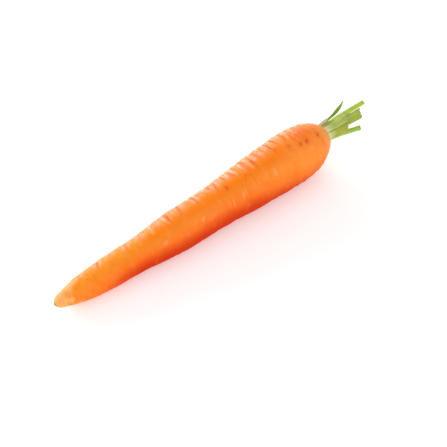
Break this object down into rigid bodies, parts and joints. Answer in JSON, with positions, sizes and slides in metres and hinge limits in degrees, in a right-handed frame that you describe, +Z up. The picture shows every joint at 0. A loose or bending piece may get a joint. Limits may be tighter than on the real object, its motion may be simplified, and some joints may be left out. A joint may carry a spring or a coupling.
{
  "type": "carrot",
  "caption": "Whole fresh carrot lying on its side: a tapering orange taproot with a blunt tip and a tuft of short-cut green leaf stalks on its crown.",
  "frame": {"origin": "middle of the whole object's outline, on the surface that the carrot lies on", "axes": "+X runs along the root from its tip to its crown, +Z is up"},
  "size_m": [0.2238, 0.0318, 0.0304],
  "materials": {
    "root_skin": "waxy moist skin, a soft sheen on fine wrinkles",
    "leaf_stalk": "fresh green stalk, satin, paler at its foot and its cut end",
    "dry_leaf": "dry brown leaf base, matte"
  },
  "bodies": {
    "root": {"root": "root_skin", "stalk_long": "leaf_stalk", "stalk_broad": "leaf_stalk", "stalk_low": "leaf_stalk", "stalk_front_low": "leaf_stalk", "stalk_front_short": "leaf_stalk", "stalk_back_upper": "leaf_stalk", "stalk_back_lower": "leaf_stalk", "stalk_young": "leaf_stalk", "stalk_thin": "leaf_stalk", "dry_leaf_base": "dry_leaf"}
  },
  "joints": []
}
